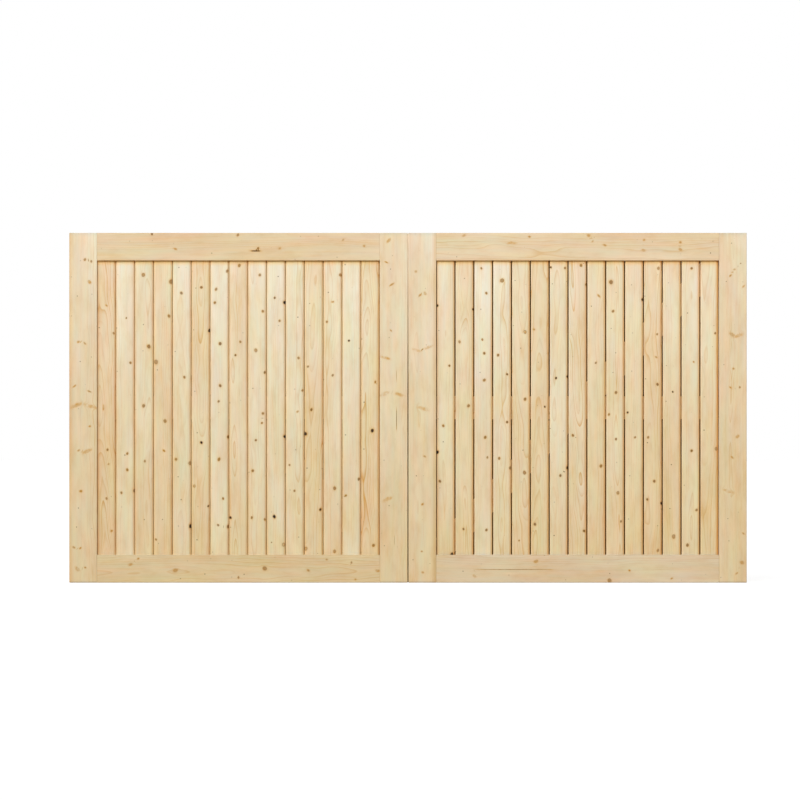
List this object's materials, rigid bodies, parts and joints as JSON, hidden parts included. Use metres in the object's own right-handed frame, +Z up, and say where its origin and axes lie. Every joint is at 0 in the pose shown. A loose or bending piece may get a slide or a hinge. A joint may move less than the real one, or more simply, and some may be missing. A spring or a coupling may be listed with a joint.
{
  "type": "wooden gate",
  "caption": "Flat-topped timber driveway gate: framed, ledged and braced leaves with upright boards, each swinging inward on hook and band hinges.",
  "frame": {"origin": "bottom centre of the bounding box of the closed gate with its hooks, level with the bottom edges of the leaves", "axes": "+X to the right seen from the front, along the gate; +Y from the front to the back, the way the leaves open; +Z up"},
  "size_m": [3.545, 0.121, 1.83],
  "materials": {
    "stile_timber": "planed, untreated",
    "rail_timber": "planed, untreated",
    "board_timber": "planed, untreated",
    "ledge_timber": "planed, untreated",
    "galvanised_steel": "hot-dip galvanised, satin",
    "zinc_screw": "zinc plated"
  },
  "bodies": {
    "hooks": {"left_top_hook": "galvanised_steel", "left_bottom_hook": "galvanised_steel", "right_top_hook": "galvanised_steel", "right_bottom_hook": "galvanised_steel"},
    "left_leaf": {"left_hanging_stile": "stile_timber", "left_meeting_stile": "stile_timber", "left_top_rail": "rail_timber", "left_bottom_rail": "rail_timber", "left_mid_rail": "ledge_timber", "left_upper_brace": "ledge_timber", "left_lower_brace": "ledge_timber", "left_board_screws": "zinc_screw", "left_top_band": "galvanised_steel", "left_bottom_band": "galvanised_steel", "left_band_screws": "zinc_screw", "left_board_1": "board_timber", "left_board_2": "board_timber", "left_board_3": "board_timber", "left_board_4": "board_timber", "left_board_5": "board_timber", "left_board_6": "board_timber", "left_board_7": "board_timber", "left_board_8": "board_timber", "left_board_9": "board_timber", "left_board_10": "board_timber", "left_board_11": "board_timber", "left_board_12": "board_timber", "left_board_13": "board_timber", "left_board_14": "board_timber", "left_board_15": "board_timber"},
    "right_leaf": {"right_hanging_stile": "stile_timber", "right_meeting_stile": "stile_timber", "right_top_rail": "rail_timber", "right_bottom_rail": "rail_timber", "right_mid_rail": "ledge_timber", "right_upper_brace": "ledge_timber", "right_lower_brace": "ledge_timber", "right_board_screws": "zinc_screw", "right_top_band": "galvanised_steel", "right_bottom_band": "galvanised_steel", "right_band_screws": "zinc_screw", "right_board_1": "board_timber", "right_board_2": "board_timber", "right_board_3": "board_timber", "right_board_4": "board_timber", "right_board_5": "board_timber", "right_board_6": "board_timber", "right_board_7": "board_timber", "right_board_8": "board_timber", "right_board_9": "board_timber", "right_board_10": "board_timber", "right_board_11": "board_timber", "right_board_12": "board_timber", "right_board_13": "board_timber", "right_board_14": "board_timber", "right_board_15": "board_timber"}
  },
  "joints": [
    {"name": "left_leaf_swing", "type": "hinge", "parent": "hooks", "child": "left_leaf", "pos_m": [-1.7475, 0.0005, 0], "axis": [0, 0, 1], "range_deg": [0, 105]},
    {"name": "right_leaf_swing", "type": "hinge", "parent": "hooks", "child": "right_leaf", "pos_m": [1.7475, 0.0005, 0], "axis": [0, 0, -1], "range_deg": [0, 105]}
  ]
}
